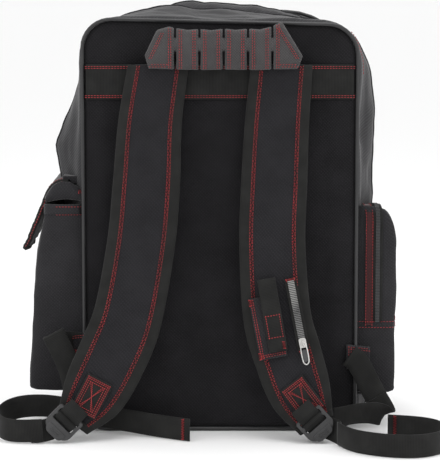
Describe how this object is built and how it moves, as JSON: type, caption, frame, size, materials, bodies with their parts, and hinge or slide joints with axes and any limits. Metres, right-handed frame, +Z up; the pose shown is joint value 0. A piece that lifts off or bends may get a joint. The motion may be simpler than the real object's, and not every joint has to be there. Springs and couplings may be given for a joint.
{
  "type": "backpack",
  "caption": "Padded backpack on its base: harness panel with shoulder straps, ladder-lock buckles, haul handle, flap pocket, zipped pockets and a hinged zipped front.",
  "frame": {"origin": "middle of the base face that the bag stands on", "axes": "+Z up the bag, -Y out of the harness side, +X to the right when facing the harness side"},
  "size_m": [0.486, 0.354, 0.4728],
  "materials": {
    "black_twill": "woven polyester twill, near black",
    "charcoal_twill": "woven polyester twill, charcoal",
    "piping": "glossy black vinyl piping",
    "foam": "closed-cell foam in a black lining",
    "stiffener_board": "rigid polyethylene sheet",
    "lining": "plain-weave lining",
    "webbing": "ribbed black webbing and grosgrain, red stitching",
    "zipper_tape": "woven zipper tape with a nylon coil",
    "buckle_plastic": "satin moulded acetal, mid grey",
    "zipper_metal": "nickel-plated die-cast zinc"
  },
  "bodies": {
    "root": {"left_gusset": "black_twill", "right_gusset": "black_twill", "top_gusset": "black_twill", "base_lining": "lining", "base_panel": "charcoal_twill", "back_panel_cover": "charcoal_twill", "back_piping": "piping", "back_foam": "foam", "frame_sheet": "stiffener_board", "laptop_sleeve": "foam", "base_board": "stiffener_board", "sleeve_pad": "foam", "front_sill": "black_twill", "main_zip_gusset_tape": "zipper_tape", "yoke_band": "webbing", "left_lower_wing": "black_twill", "right_lower_wing": "black_twill", "left_pocket_gusset": "black_twill", "left_pocket_face": "black_twill", "right_pocket_gusset": "black_twill", "right_pocket_face": "black_twill", "right_pocket_zipper": "zipper_tape", "flap_seam": "black_twill", "left_handle_anchor": "webbing", "right_handle_anchor": "webbing", "left_adjuster": "webbing", "right_adjuster": "webbing"},
    "front_cover": {"front_cover_panel": "black_twill", "main_zip_coil": "zipper_tape", "front_pocket_gusset": "black_twill", "front_pocket_face": "black_twill", "front_pocket_zipper": "zipper_tape"},
    "haul_handle": {"haul_handle_grip": "charcoal_twill"},
    "pocket_flap": {"pocket_flap": "black_twill"},
    "left_strap": {"left_strap_pad": "charcoal_twill", "left_strap_binding": "webbing", "left_strap_tab": "webbing", "left_tail": "webbing"},
    "right_strap": {"right_strap_pad": "charcoal_twill", "right_strap_binding": "webbing", "right_strap_tab": "webbing", "right_tail": "webbing", "strap_pocket_panel": "webbing", "strap_pocket_sleeve": "webbing", "strap_zip_tape": "zipper_tape"},
    "left_buckle": {"left_ladder_lock": "buckle_plastic"},
    "right_buckle": {"right_ladder_lock": "buckle_plastic"},
    "main_upper_slider": {"main_upper_slider": "zipper_metal"},
    "main_upper_puller": {"main_upper_puller": "zipper_metal"},
    "main_lower_slider": {"main_lower_slider": "zipper_metal"},
    "main_lower_puller": {"main_lower_puller": "zipper_metal"},
    "front_pocket_slider": {"front_pocket_slider": "zipper_metal"},
    "front_pocket_puller": {"front_pocket_puller": "zipper_metal"},
    "side_pocket_slider": {"side_pocket_slider": "zipper_metal"},
    "side_pocket_puller": {"side_pocket_puller": "zipper_metal"},
    "strap_pocket_slider": {"strap_pocket_slider": "zipper_metal"},
    "strap_pocket_puller": {"strap_pocket_puller": "zipper_metal"}
  },
  "joints": [
    {"name": "front_cover_hinge", "type": "hinge", "parent": "root", "child": "front_cover", "pos_m": [0, 0.0908, 0.0355], "axis": [-1, 0, 0], "range_deg": [0, 90]},
    {"name": "haul_handle_hinge", "type": "hinge", "parent": "root", "child": "haul_handle", "pos_m": [0.004, -0.1165, 0.4075], "axis": [1, 0, 0], "range_deg": [0, 100]},
    {"name": "pocket_flap_hinge", "type": "hinge", "parent": "root", "child": "pocket_flap", "pos_m": [-0.176, 0, 0.279], "axis": [0, 1, 0], "range_deg": [0, 75]},
    {"name": "left_strap_hinge", "type": "hinge", "parent": "root", "child": "left_strap", "pos_m": [-0.068, -0.1054, 0.404], "axis": [-1, 0, 0], "range_deg": [0, 40]},
    {"name": "right_strap_hinge", "type": "hinge", "parent": "root", "child": "right_strap", "pos_m": [0.067, -0.1054, 0.404], "axis": [-1, 0, 0], "range_deg": [0, 40]},
    {"name": "left_buckle_hinge", "type": "hinge", "parent": "left_strap", "child": "left_buckle", "pos_m": [-0.1605, -0.157, 0.0315], "axis": [-0.7071, 0, 0.7071], "range_deg": [-5, 60]},
    {"name": "right_buckle_hinge", "type": "hinge", "parent": "right_strap", "child": "right_buckle", "pos_m": [0.0952, -0.157, 0.0308], "axis": [-0.7431, 0, -0.6691], "range_deg": [-5, 60]},
    {"name": "main_upper_zip_slide", "type": "slide", "parent": "front_cover", "child": "main_upper_slider", "axis": [0, 0, 1], "range_m": [0, 0.058]},
    {"name": "main_upper_puller_hinge", "type": "hinge", "parent": "main_upper_slider", "child": "main_upper_puller", "pos_m": [-0.145, 0.0982, 0.316], "axis": [1, 0, 0], "range_deg": [0, 140]},
    {"name": "main_lower_zip_slide", "type": "slide", "parent": "front_cover", "child": "main_lower_slider", "axis": [0, 0, -1], "range_m": [0, 0.2]},
    {"name": "main_lower_puller_hinge", "type": "hinge", "parent": "main_lower_slider", "child": "main_lower_puller", "pos_m": [-0.145, 0.0982, 0.284], "axis": [1, 0, 0], "range_deg": [0, 140]},
    {"name": "front_pocket_zip_slide", "type": "slide", "parent": "front_cover", "child": "front_pocket_slider", "axis": [0, 0, -1], "range_m": [0, 0.14]},
    {"name": "front_pocket_puller_hinge", "type": "hinge", "parent": "front_pocket_slider", "child": "front_pocket_puller", "pos_m": [0.092, 0.123, 0.222], "axis": [1, 0, 0], "range_deg": [0, 140]},
    {"name": "side_pocket_zip_slide", "type": "slide", "parent": "root", "child": "side_pocket_slider", "axis": [0, 0, 1], "range_m": [0, 0.075]},
    {"name": "side_pocket_puller_hinge", "type": "hinge", "parent": "side_pocket_slider", "child": "side_pocket_puller", "pos_m": [0.1745, 0.056, 0.16], "axis": [1, 0, 0], "range_deg": [0, 140]},
    {"name": "strap_pocket_zip_slide", "type": "slide", "parent": "right_strap", "child": "strap_pocket_slider", "axis": [-0.1895, 0.1161, 0.975], "range_m": [0, 0.06]},
    {"name": "strap_pocket_puller_hinge", "type": "hinge", "parent": "strap_pocket_slider", "child": "strap_pocket_puller", "pos_m": [0.0895, -0.14673, 0.10837], "axis": [-0.9816, 0, -0.1908], "range_deg": [0, 140]}
  ]
}
